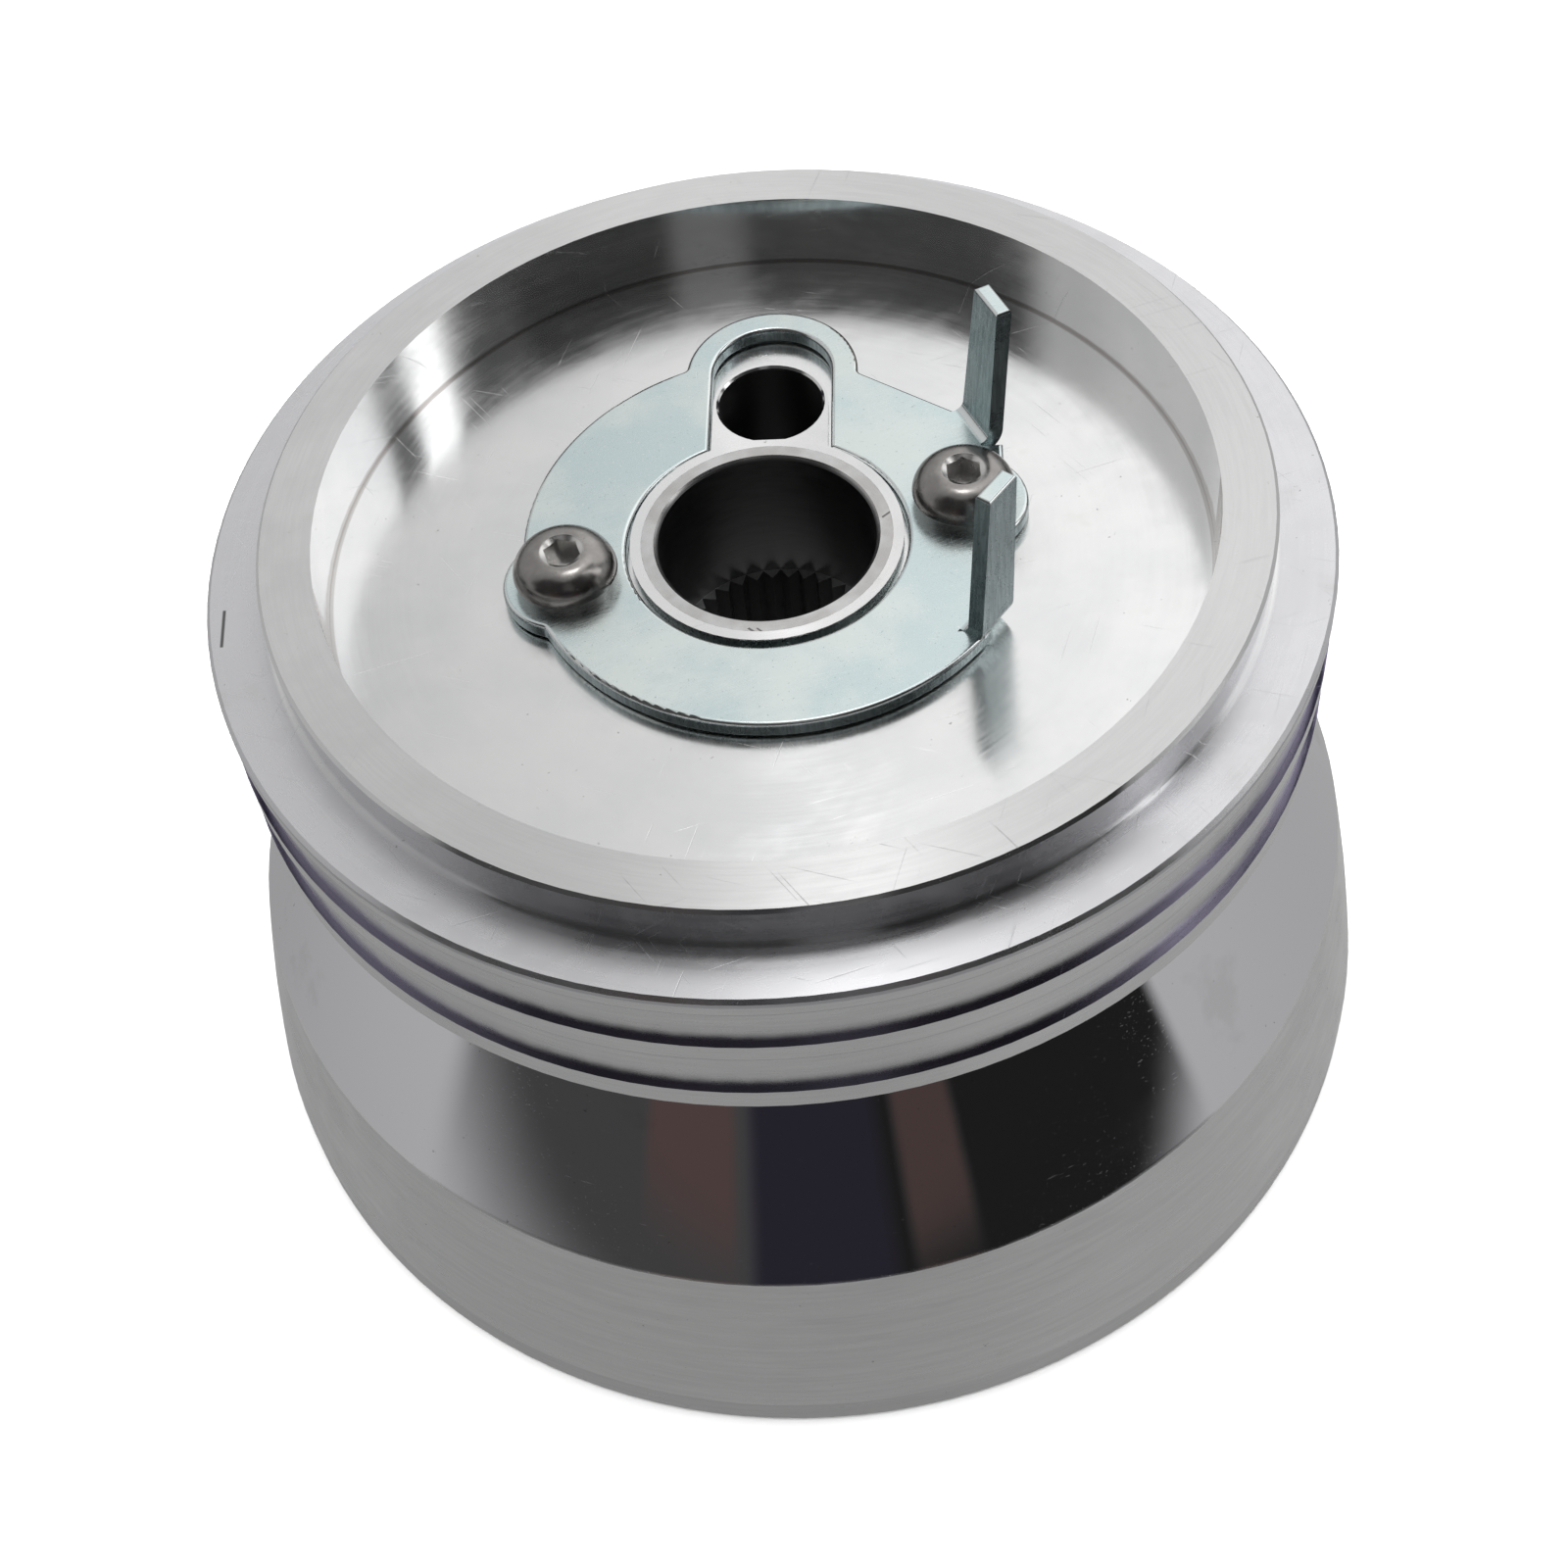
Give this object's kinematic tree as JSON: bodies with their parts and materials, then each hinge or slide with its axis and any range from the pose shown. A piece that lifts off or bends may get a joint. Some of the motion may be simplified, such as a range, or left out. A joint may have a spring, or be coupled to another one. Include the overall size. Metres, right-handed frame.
{
  "type": "steering wheel hub adapter",
  "caption": "Turned aluminium steering wheel hub adapter with a splined steel sleeve, a horn contact hole and a bent-tab cancelling plate in its column-side pocket.",
  "frame": {"origin": "centre of the flat wheel face, at the bottom of the hub", "axes": "+Z along the steering axis from the wheel towards the column, +Y from the shaft bore to the horn hole"},
  "size_m": [0.1166, 0.1166, 0.0772],
  "materials": {
    "polished_aluminium": "polished, with machined bands",
    "machined_steel": "machined",
    "zinc_plated_steel": "clear zinc plate, satin",
    "stainless_steel": "polished"
  },
  "bodies": {
    "root": {"hub_body": "polished_aluminium", "spline_sleeve": "machined_steel", "cancel_plate": "zinc_plated_steel", "plate_screw_left": "stainless_steel", "plate_screw_right": "stainless_steel", "lock_washer_left": "stainless_steel", "lock_washer_right": "stainless_steel"}
  },
  "joints": []
}
